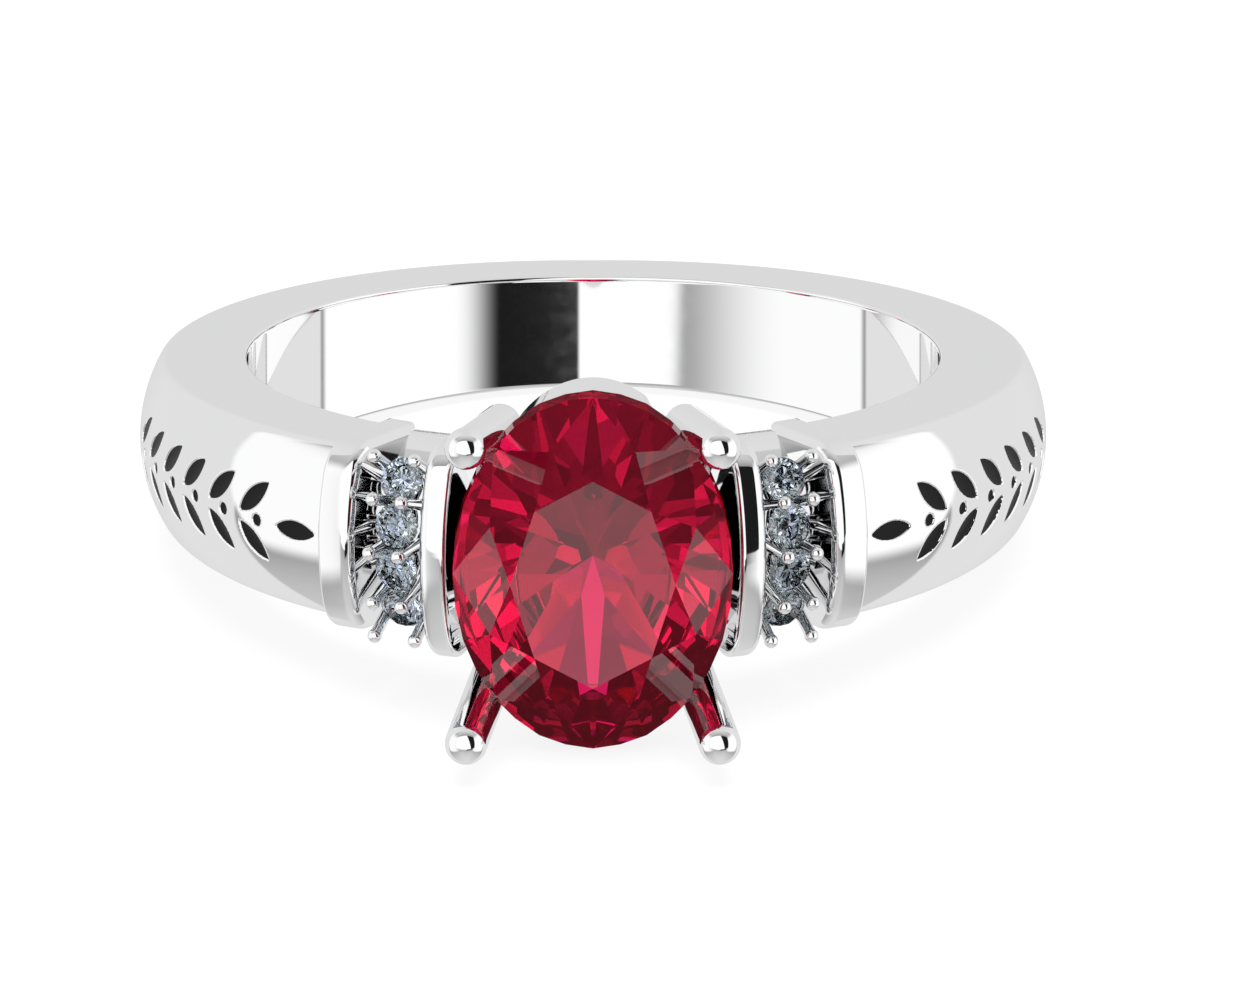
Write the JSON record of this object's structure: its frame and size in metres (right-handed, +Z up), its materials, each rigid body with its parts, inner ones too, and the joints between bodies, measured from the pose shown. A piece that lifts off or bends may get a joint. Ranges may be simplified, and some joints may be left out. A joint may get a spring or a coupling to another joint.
{
  "type": "class ring",
  "caption": "Class ring with a domed, tapered shank, an oval stone held by prongs, small round stones between collar plates on the shoulders, and enamelled leaf sprigs.",
  "frame": {"origin": "on the surface that the ring lies on, under the middle of its bounding box", "axes": "+Z up; -Y toward the oval stone; +X to the right, seen with the stone in front; the finger axis leans back from +Z in the YZ plane"},
  "size_m": [0.0226, 0.0264, 0.0091],
  "materials": {
    "silver": "mirror polished silver",
    "ruby": "faceted crimson stone",
    "diamond": "faceted clear stone",
    "enamel": "black enamel"
  },
  "bodies": {
    "root": {"ring_metal": "silver", "centre_stone": "ruby", "accent_left_1": "diamond", "accent_left_2": "diamond", "accent_left_3": "diamond", "accent_left_4": "diamond", "accent_right_1": "diamond", "accent_right_2": "diamond", "accent_right_3": "diamond", "accent_right_4": "diamond", "enamel_left": "enamel", "enamel_right": "enamel"}
  },
  "joints": []
}
